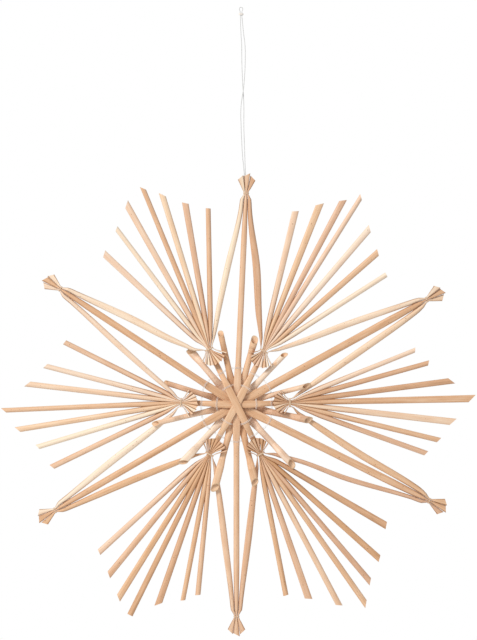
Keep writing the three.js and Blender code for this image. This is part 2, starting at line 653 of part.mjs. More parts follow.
function makeLoop() {
  const route = new THREE.CatmullRomCurve3(LOOP_ROUTE.map((point) => new THREE.Vector3(...point)));
  const section = new THREE.Shape();
  const corners = 8;
  for (let i = 0; i < corners; i += 1) {
    const angle = (i / corners) * 2 * Math.PI;
    const draw = i === 0 ? 'moveTo' : 'lineTo';
    section[draw]((LOOP_THREAD / 2) * Math.cos(angle), (LOOP_THREAD / 2) * Math.sin(angle));
  }
  const geometry = new THREE.ExtrudeGeometry(section, { steps: LOOP_STEPS, extrudePath: route });
  addMesh(model, 'hanging_loop', geometry, material(THREAD_COLOUR, 0.7));
  const up = new THREE.Vector3(0, 0, 1);
  const halfWide = KNOT_STRAND + LOOP_THREAD + 2 * GAP;
  const halfDeep = LOOP_THREAD + 1.5 * GAP;
  const knot = tie(new THREE.Vector3(0, 0, KNOT_Z), up, halfWide, halfDeep);
  addMesh(model, 'loop_knot', knot, material(THREAD_COLOUR, 0.7));
}

makeSpokes();
makeCrossbars();
makeTubes();
makeFans();
makeEdgeStraws();
makeTipTies();
makeWeaves();
makeLoop();

export default model;
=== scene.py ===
import math
import random
from collections import namedtuple

import bmesh
import bpy
import numpy as np
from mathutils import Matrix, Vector


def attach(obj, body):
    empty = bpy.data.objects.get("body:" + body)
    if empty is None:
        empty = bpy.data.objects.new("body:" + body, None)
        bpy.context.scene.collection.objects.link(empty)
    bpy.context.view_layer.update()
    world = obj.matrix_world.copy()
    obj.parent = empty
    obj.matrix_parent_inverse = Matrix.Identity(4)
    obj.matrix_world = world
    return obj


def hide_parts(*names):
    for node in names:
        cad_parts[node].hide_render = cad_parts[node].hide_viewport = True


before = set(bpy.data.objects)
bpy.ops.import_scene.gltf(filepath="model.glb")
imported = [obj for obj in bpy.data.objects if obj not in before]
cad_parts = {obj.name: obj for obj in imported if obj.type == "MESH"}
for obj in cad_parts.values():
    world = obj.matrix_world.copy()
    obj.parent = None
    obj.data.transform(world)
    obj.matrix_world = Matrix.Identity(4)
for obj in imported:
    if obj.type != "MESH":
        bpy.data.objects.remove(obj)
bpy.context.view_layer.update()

# A hanging star of rye straws tied with thread. Measures are in millimetres until a piece's points
# are placed, unless a name or comment says metres. The origin is the top of the hanging loop.
MM = 0.001
STAR_X = -3.8
STAR_Z = -334

# The photograph's frame in metres: its middle, and its height at the star.
FRAME_MIDDLE = Vector((-0.0021, 0, -0.2629))
FRAME_HEIGHT = 0.5376
CAMERA_DISTANCE = 3.0
FLOOR_Z = -0.62
FLOOR_SIZE = 1.3

# The light: the world's strength, and the lamp's place and size in metres and its power in watts.
WORLD_LIGHT = 0.52
LAMP_PLACE = Vector((-1.3, -1.5, 0.9))
LAMP_SIZE = 0.7
LAMP_POWER = 36

# Straws: the gap between two, their diameters and depths, and how flat they are pressed.
GAP = 0.3
CROSSBAR_DIAMETER = 4.2
FREE_DIAMETER = 4.5
TUBE_LEAST_DIAMETER = 4.2
TUBE_MOST_DIAMETER = 5.2
TUBE_MIDDLE_DIAMETER = 4.6
ARM_DEPTH = 3.9
EDGE_DEPTH = 4
TUBE_DEPTH = 4
FLAT = 0.8
LAYER = FLAT + GAP
LEAST_PRESSED = 1.4

# A straw's rows from the middle outwards: distance, thickness, and the share that it has come from
# its layer to the depth at which it is round. The threads cross at the second and last rows.
FLAT_ROW = (7.5, FLAT, 0)
PRESSED_ROW = (16.8, 1.1, 0.1)
SPOKE_ROWS = (FLAT_ROW, PRESSED_ROW, (27, 1.6, 0.5), (31.2, 2.6, 1))
CROSSBAR_ROWS = (FLAT_ROW, PRESSED_ROW, (21, 2.6, 0.35), (29.3, 3.2, 1))
TUBE_ROUND_RADIUS = 30.2
ROUNDNESS = 0.93
SPOKE_ROUND_Y = -1.1
CROSSBAR_ROUND_Y = -0.2
TUBE_ROUND_Y = 0.6
TUBE_SPREAD = 0.25
ARM_ROUND_RADIUS = 36
TUBE_FREE_RADIUS = 55
TUBE_BEHIND_RADIUS = 45
TUBE_BEHIND_Y = 1.5
TUBE_MOUTH_RUN = 4
TUBE_NAME_STEP = 15

# Spoke tips. Distances along a spoke are from the tie of its tip.
ARM_TAPER = 45
SIDE_BY_SIDE = 14
SIDE_BY_SIDE_SHARE = 0.76
TIP_GAP = 0.06
NECK = 5.5
NECK_WIDTH = 3.1
NECK_DEPTH = 4.4
HALF_TIE = 1
TIE_WIDTH = 1.4
TIE_DEPTH = 2.8
SIDE_TIE_DEPTH = 2.4
TIED_GAP = 0.1
TIE_PITCH = TIE_WIDTH + TIED_GAP
BLADE_FOOT = 4.5
BLADE_FOOT_WIDTH = 2.6
BLADE_FOOT_DEPTH = 1.3
BLADE_FOOT_Y = 0.95
BLADE_LENGTH = 15.5
BLADE_WIDTH = 5.6
SIDE_BLADE_LENGTH = 13
SIDE_BLADE_WIDTH = 5.4
SIDE_BLADE_REACH = 5.2
SIDE_BLADE_Y = 1.35
BLADE_SLANT = 0.5

# Fans and edge straws. EDGE_PLACE and EDGE_TIED_PLACE are counted in pleats from the fan's axis, at
# the short ends and in the tie. FREE_PLACES, EDGE_PLACES and EDGE_CROSSING are distances from the tie.
EDGE_PLACE = 4
EDGE_TIED_PLACE = 5.2
PLEAT = 0.6
PLEAT_FUSION = 1.14
TIED_PLEAT_DEPTH = 4.8
TIED_Y = 0.75
FLARE_DEPTH = 4.2
FLARE_LENGTH = 14
FLARE_Y = -3.5
OUTER_FLARE_SHARE = 0.88
EDGE_FLARE_SHARE = 0.5
FREE_Y = 0.9
FREE_DEPTH = 4.6
FREE_PLACES = (14, 30)
EDGE_FRONT_Y = -1.6
EDGE_BACK_Y = 2.2
EDGE_PLACES = (9, 33)
EDGE_WIDTHS = (2.6, 3.6)
EDGE_FAR_SHARE = 0.86
EDGE_CROSSING = 16

# A crossbar beside its fan's tie: distance outwards from the tie, y, width and thickness.
CROSSBAR_ENDS = ((-9, 2.6, 4.6, 2.2), (-2, 3.6, 3.2, 0.9), (4, 3.6, 3.2, 0.9))

# Mouths of the straws: the wall's thickness, and how far the hollow goes in.
SPOKE_MOUTH = (0.2, 6)
CROSSBAR_MOUTH = (0.2, 3)
TUBE_MOUTH = (0.35, 14)
FREE_MOUTH = (0.35, 12)
FREE_SHORT_MOUTH = (0.16, 3)
EDGE_MOUTH = (0.2, 5)
EDGE_SHORT_MOUTH = (0.14, 3)

# Threads.
WOUND_THREAD = 0.36
WOUND_PITCH = 0.396
FAN_TIE_TURNS = 3
TIP_TIE_TURNS = 2
HUB_THREAD = 0.3
HUB_THREAD_PITCH = 0.42
KNOT_Z = -6
KNOT_THREAD = 0.55
KNOT_HALF = (1.75, 1.05)
KNOT_TURNS = 3

# The loop's diameter, length and route in metres, from behind the top tie up, over the top and down
# again.
LOOP_DIAMETER = 0.0006
LOOP_ROUTE = (
    (0.0029, 0.00245, -0.1524), (0.0029, 0.0026, -0.148), (0.00285, 0.0024, -0.142),
    (0.0023, 0.0012, -0.135), (0.0014, 0.0004, -0.127), (0.0005, 0, -0.1117), (0, 0, -0.0991),
    (-0.0002, -0.0001, -0.0865), (0.0009, -0.0005, -0.076), (0.0019, -0.00055, -0.0697),
    (0.0028, -0.0003, -0.0605), (0.0035, 0, -0.045), (0.0033, 0, -0.032), (0.0019, 0, -0.0202),
    (0.0009, 0, -0.0095), (0.00055, 0, -0.006), (0.0009, 0, -0.0034), (0.0014, 0, -0.0017),
    (0.001, 0, -0.0005), (0, 0, -0.0003), (-0.001, 0, -0.0005), (-0.0014, 0, -0.0017),
    (-0.0009, 0, -0.0034), (-0.00055, 0, -0.006), (-0.0005, 0, -0.0095), (-0.0002, 0, -0.0202),
    (0.0005, 0, -0.032), (0.0006, 0, -0.045), (0.0012, 0.0003, -0.0605),
    (0.0017, 0.00055, -0.0697), (0.0021, 0.0005, -0.076), (0.0024, 0.0001, -0.0865),
    (0.0023, 0, -0.0991), (0.0027, 0, -0.1117), (0.0032, 0.0004, -0.127),
    (0.0035, 0.0012, -0.135), (0.00385, 0.0024, -0.142), (0.0039, 0.0026, -0.148),
    (0.0039, 0.00245, -0.1524),
)

# How ripe each straw looks, from nearly white to brown, and how far chance moves it.
RIPENESS_STEP = 0.11
WHITE, PALE, CREAM, LIGHT, HONEY, MID, TAN = (RIPENESS_STEP * step for step in range(7))
RIPENESS_CHANCE = 0.05

# The tie of each spoke tip: bearing from the middle in degrees, distance from it, and the width of
# the spoke's arm.
TIPS = {
    12: (87.4, 177.8, 4.9),
    2: (28.9, 182.5, 6.3),
    4: (-26.5, 181, 6.3),
    6: (-90, 177.8, 5),
    8: (-149.8, 176.4, 5.5),
    10: (146.7, 177, 5.5),
}

# Spokes and crossbars, frontmost first: the hours at their ends, layer and ripeness.
SPOKES = (((12, 6), -2, HONEY), ((2, 8), -1, MID), ((4, 10), 0, MID))
CROSSBARS = (((11, 5), -5, MID), ((1, 7), -4, HONEY), ((3, 9), -3, MID))

# Short tubes behind the spokes: layer, ripeness, and for each end its bearing, the distance, width
# and depth of its mouth's middle, the cut's slant, and how far the back wall reaches past the front.
TUBES = (
    (1, HONEY, ((74.4, 56.5, 6.1, -1.5, -0.2, 7), (255.4, 71.8, 6.4, -3.7, -0.4, 7.5))),
    (2, MID, ((102.5, 61.1, 5, -1.5, 0, 5.4), (283.4, 66.8, 6.4, -3.7, -0.4, 6))),
    (3, PALE, ((46.2, 58, 4.6, -1, 0.6, 5), (227, 66, 6.4, -3.7, -0.8, 5))),
    (4, LIGHT, ((15.1, 61, 4.2, -3.2, -0.5, 7.5), (193, 69.7, 4.3, -3.9, 0, 6.5))),
    (5, CREAM, ((130.6, 59, 6.8, 3.7, -0.3, 5), (313, 68, 5.9, -3.7, -0.4, 8))),
    (6, MID, ((163, 62, 4.6, 3.6, 0, 4), (348, 61.7, 6.1, -3.4, 0.5, 6))),
)

# Fans: the tie's bearing and distance, the spread of the short ends, and seven free straws. The
# spread has the turn in degrees and the length of the leftmost end, then of the rightmost one. A
# free straw has a bearing, a length, its mouth's width, the slant of its cut and its ripeness.
FANS = {
    3: (2.1, 45, (46, 10.5, 50, 7.5),
        ((22.8, 114, 3.9, 0.5, CREAM), (16, 121, 4.2, 0.5, MID), (7.7, 137, 5.2, -1, TAN),
         (1.3, 153, 6.2, 1, MID), (-6.7, 138, 6, 0.9, CREAM), (-14.1, 129, 4.5, 0.6, HONEY),
         (-20.4, 122, 4.6, 0.45, HONEY))),
    1: (62.8, 50.5, (43, 8.5, 46, 11.5),
        ((77.3, 120.5, 5.6, -0.3, CREAM), (69.2, 132, 6, -0.7, HONEY), (62.3, 143, 5.4, -0.7, HONEY),
         (57.8, 153, 4, 0.9, LIGHT), (49.2, 136, 5.4, 0.7, PALE), (40.9, 126.7, 5.3, 0.5, HONEY),
         (32, 121.2, 4.2, 0.1, WHITE))),
    11: (116.4, 52, (42, 10, 43, 12.5),
         ((137.7, 119, 5.6, -0.5, CREAM), (127.5, 127.5, 4, -0.6, WHITE), (119.6, 140, 5.4, -0.9, CREAM),
          (112.3, 146, 4.1, 1, MID), (106.8, 135.6, 5, 0.9, CREAM), (99.2, 124.3, 5.4, 0.4, MID),
          (90.3, 118.3, 4.2, 0.1, MID))),
    9: (177.9, 46.7, (48, 11, 50, 10),
        ((206.5, 121, 4.8, -0.5, HONEY), (197.2, 126, 4.4, -0.5, WHITE), (189.4, 139, 4.8, -0.9, LIGHT),
         (182.5, 149, 4, -1.1, HONEY), (173.1, 130, 4.8, 1, CREAM), (164.9, 118, 4.4, 0.6, PALE),
         (152.6, 110, 4.4, 0.2, HONEY))),
    7: (241.4, 47.4, (40, 12.5, 44, 8.5),
        ((265.3, 118.6, 4.5, -0.2, HONEY), (259.7, 124.7, 4, -0.3, MID), (251.2, 133.2, 5.6, -0.8, TAN),
         (243.7, 150.7, 5, 0, TAN), (237.7, 143, 5.4, 0.7, MID), (230.2, 132, 5.4, 0.6, MID),
         (221.6, 124, 5, 0.3, LIGHT))),
    5: (295.9, 46.2, (50, 8.6, 42, 9.5),
        ((330.4, 121.5, 6, -0.35, TAN), (318.7, 133, 5.4, -0.5, TAN), (310.7, 141.4, 5, -0.8, MID),
         (305.1, 154, 5, -1, HONEY), (297.5, 143, 5, 0.6, LIGHT), (288.4, 128, 6, 0.4, MID),
         (280.2, 120.5, 4.5, -0.1, MID))),
}

# Edge straws, by fan and tip: width, how far they bow away from the spoke at EDGE_PLACES and at
# their middle, and ripeness. Those in front pass in front of the short tube's end.
EDGES = {
    (3, 2): (5.9, (0.7, 1.1, 1.5), CREAM),
    (3, 4): (6.2, (-1, -1.3, -1.1), HONEY),
    (1, 12): (6.4, (1.1, 1, 2.2), MID),
    (1, 2): (5.6, (-0.4, -0.4, 0.8), PALE),
    (11, 10): (6.2, (-2.8, -2.8, -0.6), PALE),
    (11, 12): (5.3, (0.7, 1.3, 1.2), PALE),
    (9, 8): (6, (-0.7, -0.5, 0.5), WHITE),
    (9, 10): (5, (0.8, 1.2, 1.3), PALE),
    (7, 6): (5.6, (-0.5, -0.7, -0.3), LIGHT),
    (7, 8): (6, (-1, -1.2, -1.1), MID),
    (5, 4): (4.4, (-1, -1.7, 0.9), MID),
    (5, 6): (5.8, (1, 0.8, 0.9), MID),
}
EDGES_IN_FRONT = ((11, 10), (9, 10))

# Parts of a straw's surface, each with a finish of its own.
SKIN, CUT, LINING = 0, 1, 2

# Rings of the straws and threads, how far a slanted cut turns the rings behind it, and how much
# squarer than round a straw is when it is pressed flat.
STRAW_SIDES = 18
THREAD_SIDES = 8
RING_SPACING = 3.0
SLANT_FADE = 9.0
FLARE_SLANT = 0.35
SQUARENESS = 0.32

# Lengths from a straw's two ends over which its sides get a painted shade, where it lies in a fold between
# others, and how fast that painted shade fades.
FREE_FOLD_SHADE = (84, 0)
EDGE_FOLD_SHADE = (30, 56)
ARM_FOLD_SHADE = (56, 56)
FOLD_SHADE_FADE = 1.6

# Each straw and thread is cut from its own place on one endless grain.
GRAIN_SPACING = 400
GRAIN_PLACES = 900

DEPTH = Vector((0, 1, 0))

# A place along a straw: its middle, width, depth, and how far the left edge and the back of a cut
# lie ahead of its middle, over the half width and the half depth.
Station = namedtuple("Station", "at wide deep slant tilt", defaults=(0, 0))

# A ring of a straw or thread: its middle, its half width and half depth as vectors, its distance
# from the start, the part of the surface that ends at it, and how flat it is, from 0 to 1.
Ring = namedtuple("Ring", "centre across other distance part flatness", defaults=(SKIN, 0))


def make_camera():
    data = bpy.data.cameras.new("photo_camera")
    data.lens = data.sensor_width * CAMERA_DISTANCE / FRAME_HEIGHT
    camera = bpy.data.objects.new("photo_camera", data)
    camera.location = FRAME_MIDDLE - DEPTH * CAMERA_DISTANCE
    camera.rotation_euler = (math.pi / 2, 0, 0)
    bpy.context.collection.objects.link(camera)
    bpy.context.scene.camera = camera


# Finishes.


class Field:
    """A value that varies over a surface: an output socket on which sums and products add Math nodes."""

    def __init__(self, finish, socket):
        self.finish = finish
        self.socket = socket

    def maths(self, operation, first, second=0.0):
        return self.finish.node("ShaderNodeMath", {"operation": operation}, {0: first, 1: second})

    def __add__(self, other):
        return self.maths("ADD", self, other)

    def __radd__(self, other):
        return self.maths("ADD", other, self)

    def __sub__(self, other):
        return self.maths("SUBTRACT", self, other)

    def __rsub__(self, other):
        return self.maths("SUBTRACT", other, self)

    def __mul__(self, other):
        return self.maths("MULTIPLY", self, other)

    def __rmul__(self, other):
        return self.maths("MULTIPLY", other, self)

    def between(self, low, high):
        """0 below low, 1 above high and smooth between them."""
        settings = {"interpolation_type": "SMOOTHSTEP"}
        return self.finish.node("ShaderNodeMapRange", settings, {0: self, 1: low, 2: high})


class Finish:
    """A material whose nodes are added one at a time."""

    def __init__(self, name):
        self.material = bpy.data.materials.new(name)
        self.material.use_nodes = True
        self.tree = self.material.node_tree
        self.tree.nodes.clear()

    def node(self, kind, settings=None, sockets=None, output=0):
        node = self.tree.nodes.new(kind)
        for name, value in (settings or {}).items():
            if name == "stops":
                ramp = node.color_ramp
                while len(ramp.elements) < len(value):
                    ramp.elements.new(1.0)
                for element, (position, colour) in zip(ramp.elements, value):
                    element.position = position
                    element.color = (*colour, 1)
            else:
                setattr(node, name, value)
        for key, value in (sockets or {}).items():
            if isinstance(value, Field):
                self.tree.links.new(value.socket, node.inputs[key])
            else:
                node.inputs[key].default_value = value
        return Field(self, node.outputs[output]) if node.outputs else None

    def attribute(self, name):
        return self.node("ShaderNodeAttribute", {"attribute_name": name}, output="Vector")

    def parts(self, vector):
        split = self.node("ShaderNodeSeparateXYZ", sockets={0: vector})
        outputs = split.socket.node.outputs
        return [Field(self, outputs[axis]) for axis in ("X", "Y", "Z")]

    def noise(self, vector, scales, detail=2.0, roughness=0.5):
        stretched = self.node("ShaderNodeMapping", sockets={"Vector": vector, "Scale": scales})
        sockets = {"Vector": stretched, "Scale": 1.0, "Detail": detail, "Roughness": roughness}
        return self.node("ShaderNodeTexNoise", sockets=sockets)

    def ramp(self, factor, stops):
        return self.node("ShaderNodeValToRGB", {"stops": stops}, {0: factor})

    def mix(self, factor, first, second):
        return self.node("ShaderNodeMix", {"data_type": "RGBA"}, {0: factor, 6: first, 7: second}, output=2)

    def surface(self, colour, roughness, height, depth, **constants):
        """The shader itself. height times depth, in metres, is the surface's relief."""
        bump = self.node("ShaderNodeBump", sockets={"Strength": 1.0, "Distance": depth, "Height": height})
        sockets = {"Base Color": colour, "Roughness": roughness, "Normal": bump}
        sockets.update({name.replace("_", " "): value for name, value in constants.items()})
        shader = self.node("ShaderNodeBsdfPrincipled", sockets=sockets)
        self.node("ShaderNodeOutputMaterial", sockets={"Surface": shader})
        return self.material


def straw_finish(name, pink_share):
    """The outside of a straw: fibres along it, broad bands, a few dark flecks, and painted shade on its
    sides where it lies in a fold between others.
    """
    fleck_brown = (0.24, 0.11, 0.05, 1)
    fleck_share = 0.85
    fold_shade_brown = (0.38, 0.17, 0.06, 1)
    fold_shade_share = 0.9
    finish = Finish(name)
    grain = finish.attribute("grain")
    # The tone holds the straw's ripeness, its pinkness and the painted shade of its sides.
    ripeness, warmth, painted_fold_shade = finish.parts(finish.attribute("tone"))
    across, other, _ = finish.parts(grain)
    cosine = across.maths("COSINE", across.maths("ARCTAN2", other, across))
    side = across.maths("ABSOLUTE", cosine).between(0.42, 0.96)
    fibres = finish.noise(grain, (3.4, 3.4, 0.07), detail=4.0, roughness=0.6)
    bands = finish.noise(grain, (0.75, 0.75, 0.014), detail=2.0)
    patches = finish.noise(grain, (0.45, 0.45, 0.06), detail=3.0)
    flecks = finish.noise(grain, (1.5, 1.5, 0.75), detail=0.0).between(0.785, 0.85)
    shade = ripeness + (fibres - 0.5) * 0.5 + (bands - 0.5) * 0.45 + (patches - 0.5) * 0.35
    golden = finish.ramp(shade, (
        (0.0, (0.96, 0.8, 0.61)),
        (0.3, (0.88, 0.62, 0.41)),
        (0.6, (0.74, 0.43, 0.23)),
        (0.85, (0.52, 0.28, 0.13)),
        (1.0, (0.36, 0.18, 0.08)),
    ))
    pink = finish.ramp(shade, (
        (0.0, (0.94, 0.75, 0.6)),
        (0.3, (0.85, 0.58, 0.42)),
        (0.6, (0.7, 0.42, 0.27)),
        (0.85, (0.5, 0.29, 0.18)),
        (1.0, (0.34, 0.18, 0.1)),
    ))
    colour = finish.mix(warmth * pink_share, golden, pink)
    colour = finish.mix(flecks * fleck_share, colour, fleck_brown)
    # Painted shade: the straw's sides are darker near its ends, where it lies between others.
    colour = finish.mix(side * painted_fold_shade * fold_shade_share, colour, fold_shade_brown)
    roughness = 0.36 + fibres * 0.22
    height = fibres * 0.7 + bands * 0.6
    return finish.surface(colour, roughness, height, depth=0.00009, Specular_IOR_Level=0.42)


def cut_finish():
    """The cut edge of a straw's wall: paler, dry and rough."""
    finish = Finish("straw_cut")
    grain = finish.attribute("grain")
    pores = finish.noise(grain, (5.0, 5.0, 5.0), detail=3.0)
    colour = finish.ramp(pores, ((0.3, (0.62, 0.4, 0.22)), (0.7, (0.86, 0.65, 0.42))))
    return finish.surface(colour, roughness=0.75, height=pores, depth=0.0001)


def lining_finish():
    """The inside of a straw: a duller, orange brown pith."""
    finish = Finish("straw_lining")
    grain = finish.attribute("grain")
    streaks = finish.noise(grain, (2.0, 2.0, 0.1), detail=3.0)
    colour = finish.ramp(streaks, ((0.3, (0.78, 0.46, 0.26)), (0.7, (0.95, 0.68, 0.46))))
    return finish.surface(colour, roughness=0.7, height=streaks, depth=0.0001)


def wound_thread_finish(name, dark, pale):
    """Thread of two plies, wound round straws: its colour runs from a painted shade in the grooves between
    its plies to its pale crests, over the thread's own fuzz.
    """
    finish = Finish(name)
    grain = finish.attribute("grain")
    across, other, along = finish.parts(grain)
    turn = across.maths("ARCTAN2", other, across)
    ply = across.maths("SINE", turn * 2.0 + along * 4.5)
    fuzz = finish.noise(grain, (9.0, 9.0, 2.0), detail=3.0)
    # Painted shade: the grooves between the plies are darker and the crests paler, on top of the thread's
    # own fuzz.
    shade = ply * 0.22 + fuzz
    roughness = 0.68 + fuzz * 0.2
    colour = finish.ramp(shade, ((0.25, dark), (0.75, pale)))
    return finish.surface(colour, roughness, shade, depth=0.00006)


def loop_thread_finish():
    """The hanging loop's smooth, greyish white thread."""
    finish = Finish("loop_thread")
    place = finish.node("ShaderNodeTexCoord", output="Object")
    fuzz = finish.noise(place, (2600.0, 2600.0, 900.0), detail=3.0)
    colour = finish.ramp(fuzz, ((0.3, (0.56, 0.56, 0.55)), (0.7, (0.8, 0.8, 0.79))))
    roughness = 0.6 + fuzz * 0.2
    return finish.surface(colour, roughness, fuzz, depth=0.00005)


# Lofts.


def eased(knots, values, wanted):
    """Values at the wanted places, on a smooth curve through the knots that never swings past them."""
    knots, values = np.asarray(knots, float), np.asarray(values, float)
    steps = np.diff(knots)
    rises = np.diff(values) / steps
    slopes = np.zeros(len(values))
    slopes[0], slopes[-1] = rises[0], rises[-1]
    before, after = rises[:-1], rises[1:]
    same_way = before * after > 0
    total = np.where(same_way, before + after, 1)
    slopes[1:-1] = np.where(same_way, 2 * before * after / total, 0)
    index = np.clip(np.searchsorted(knots, wanted, side="right") - 1, 0, len(steps) - 1)
    step = steps[index]
    share = (np.asarray(wanted) - knots[index]) / step
    return (
        values[index] * (1 + 2 * share) * (1 - share) ** 2
        + values[index + 1] * share ** 2 * (3 - 2 * share)
        + slopes[index] * step * share * (1 - share) ** 2
        - slopes[index + 1] * step * share ** 2 * (1 - share)
    )


class Course:
    """A straw's smooth course through its stations."""

    def __init__(self, stations):
        self.stations = stations
        self.knots = [0.0]
        for first, second in zip(stations, stations[1:]):
            self.knots.append(self.knots[-1] + (second.at - first.at).length)
        self.length = self.knots[-1]

    def places(self):
        """Distances along the straw at which it gets a ring."""
        even = np.arange(RING_SPACING, self.length, RING_SPACING)
        free = [place for place in even if min(abs(place - knot) for knot in self.knots) > RING_SPACING / 3]
        return sorted([*self.knots, *free])

    def at(self, distances):
        rows = np.array([[*station.at, station.wide, station.deep] for station in self.stations])
        x, y, z, wide, deep = (eased(self.knots, column, distances) for column in rows.T)
        result = []
        for i, distance in enumerate(distances):
            near_start = max(0.0, 1 - distance / SLANT_FADE)
            near_end = max(0.0, 1 - (self.length - distance) / SLANT_FADE)
            first, last = self.stations[0], self.stations[-1]
            slant = first.slant * near_start + last.slant * near_end
            tilt = first.tilt * near_start + last.tilt * near_end
            result.append(Station(Vector((x[i], y[i], z[i])), wide[i], deep[i], slant, tilt))
        return result


def flat_direction(course, distance):
    """The course's direction at a distance, in the star's plane."""
    reach = 1.5
    ends = course.at([max(0.0, distance - reach), min(course.length, distance + reach)])
    along = ends[1].at - ends[0].at
    along.y = 0
    return along.normalized()


def straw_ring(station, along, distance, part, wall=0.0):
    half = station.wide / 2 - wall
    half_deep = station.deep / 2 - wall
    across = DEPTH.cross(along) * half - along * (station.slant * half)
    back = DEPTH * half_deep + along * (station.tilt * half_deep)
    flatness = 1 - min(half, half_deep) / max(half, half_deep)
    return Ring(station.at, across, back, distance, part, flatness)


def straw_rings(stations, mouths):
    """A straw's rings from deep in its first mouth, out, along it and into its last mouth. A mouth is
    the wall's thickness and how far the hollow goes in."""
    course = Course(stations)
    (first_wall, first_reach), (last_wall, last_reach) = mouths
    hollow = (0.0, 0.15, 0.5, 1.0)

    def rings(distances, first_part, part, wall=0.0):
        parts = [first_part] + [part] * (len(distances) - 1)
        return [
            straw_ring(station, flat_direction(course, distance), distance, ring_part, wall)
            for distance, station, ring_part in zip(distances, course.at(distances), parts)
        ]

    first_hollow = [first_reach * share for share in reversed(hollow)]
    last_hollow = [course.length - last_reach * share for share in hollow]
    return [
        *rings(first_hollow, LINING, LINING, first_wall),
        *rings(course.places(), CUT, SKIN),
        *rings(last_hollow, CUT, LINING, last_wall),
    ]


def squared(turn, flatness):
    """A point of the unit circle, pushed towards a square as the straw is pressed flat."""
    power = 1 - SQUARENESS * flatness
    x, y = math.cos(turn), math.sin(turn)
    return math.copysign(abs(x) ** power, x), math.copysign(abs(y) ** power, y)


class Loft:
    """A mesh of closed tubes that are lofted through rings, with the grain and tone of their material and
    the painted shade of their sides.
    """

    def __init__(self, sides):
        self.mesh = bmesh.new()
        self.sides = sides
        self.turn = self.mesh.verts.layers.float.new("turn")
        self.grain = self.mesh.verts.layers.float_vector.new("grain")
        self.tone = self.mesh.verts.layers.float_vector.new("tone")

    def place(self, corners, ring, girth, start, tone):
        for corner in corners:
            turn = corner[self.turn]
            x, y = squared(turn, ring.flatness)
            point = ring.centre + ring.across * x + ring.other * y
            corner.co = point * MM
            corner[self.grain] = (girth * math.cos(turn), girth * math.sin(turn), ring.distance + start)
            corner[self.tone] = tone

    def add(self, rings, girth, start, tone=(0, 0), closed=False, fold_shade_lengths=(0, 0)):
        """Adds a tube. A straw's tone is its ripeness and pinkness, and its sides get a painted shade over
        the lengths at its ends where it lies pressed in a fold between others."""
        circle = bmesh.ops.create_circle(self.mesh, radius=1, segments=self.sides)
        corners = circle["verts"]
        for corner in corners:
            corner[self.turn] = math.atan2(corner.co.y, corner.co.x)
        edges = list({edge for corner in corners for edge in corner.link_edges})
        first_edges = edges
        length = max(ring.distance for ring in rings)

        # Painted shade on the straw's sides, full at its ends and fading over the given lengths.
        def with_fold_shade(ring):
            near, far = ring.distance, length - ring.distance
            fold_shade_amounts = [FOLD_SHADE_FADE * (1 - away / reach) for away, reach in zip((near, far), fold_shade_lengths) if reach]
            return (*tone, min(max([0, *fold_shade_amounts]), 1))

        self.place(corners, rings[0], girth, start, with_fold_shade(rings[0]))
        for before, ring in zip(rings, rings[1:]):
            grown = bmesh.ops.extrude_edge_only(self.mesh, edges=edges)["geom"]
            corners = [item for item in grown if isinstance(item, bmesh.types.BMVert)]
            new = set(corners)
            faces = [item for item in grown if isinstance(item, bmesh.types.BMFace)]
            edges = [item for item in grown
                     if isinstance(item, bmesh.types.BMEdge) and new.issuperset(item.verts)]
            self.place(corners, ring, girth, start, with_fold_shade(ring))
            for face in faces:
                face.material_index = ring.part
            if CUT in (before.part, ring.part):
                for edge in edges:
                    edge.smooth = False
        if closed:
            bmesh.ops.bridge_loops(self.mesh, edges=first_edges + edges)

    def finish(self, name, finishes, node, slot):
        """The piece that stands for a solid, with its open ends closed."""
        mesh = self.mesh
        bmesh.ops.holes_fill(mesh, edges=[edge for edge in mesh.edges if edge.is_boundary], sides=0)
        bmesh.ops.recalc_face_normals(mesh, faces=mesh.faces)
        for face in mesh.faces:
            face.smooth = True
        mesh.verts.layers.float.remove(self.turn)
        data = bpy.data.meshes.new(name)
        mesh.to_mesh(data)
        mesh.free()
        piece = bpy.data.objects.new(name, data)
        bpy.context.collection.objects.link(piece)
        for finish in finishes:
            data.materials.append(finish)
        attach(piece, "root")
        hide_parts(node)
        return piece


def polar(radius, bearing, y=0.0):
    """A point from a bearing about the star's middle, with a depth."""
    angle = math.radians(bearing)
    return Vector((STAR_X + radius * math.cos(angle), y, STAR_Z + radius * math.sin(angle)))


def heading(bearing):
    angle = math.radians(bearing)
    return Vector((math.cos(angle), 0, math.sin(angle)))


def left_of(direction):
    return Vector((-direction.z, 0, direction.x))


def at_depth(point, y):
    return Vector((point.x, y, point.z))


def pressed(diameter, given):
    """The other dimension of a round straw that is pressed to a given one, with the same girth."""
    half = math.pi / 2
    if given <= diameter:
        return given + half * (diameter - given)
    return max(LEAST_PRESSED, (half * diameter - given) / (half - 1))


def toned(name, ripeness):
    """A straw's tone, with a little chance in it: ripeness and pinkness."""
    chance = random.Random(name)
    return ripeness + chance.uniform(-RIPENESS_CHANCE, RIPENESS_CHANCE), chance.random()


def grain_start(name):
    """Where along the endless grain a straw or thread is cut from."""
    return GRAIN_SPACING * random.Random("grain " + name).randrange(1, GRAIN_PLACES)


# Straws.


def arm_diameter(hour):
    return (TIPS[hour][2] + ARM_DEPTH) / 2


def row_station(bearing, layer, diameter, round_y, row):
    """A straw at one of the rows that it passes between the middle and where it is round."""
    radius, deep, share = row
    layer_y = layer * LAYER
    at = polar(radius, bearing, layer_y + share * (round_y - layer_y))
    return Station(at, pressed(diameter, deep), deep)


def hub_middle(layer, diameter):
    return Station(polar(0, 0, layer * LAYER), pressed(diameter, FLAT), FLAT)


def across_the_middle(first, second, middle):
    turned = [station._replace(slant=-station.slant, tilt=-station.tilt) for station in reversed(first)]
    return [*turned, middle, *second]


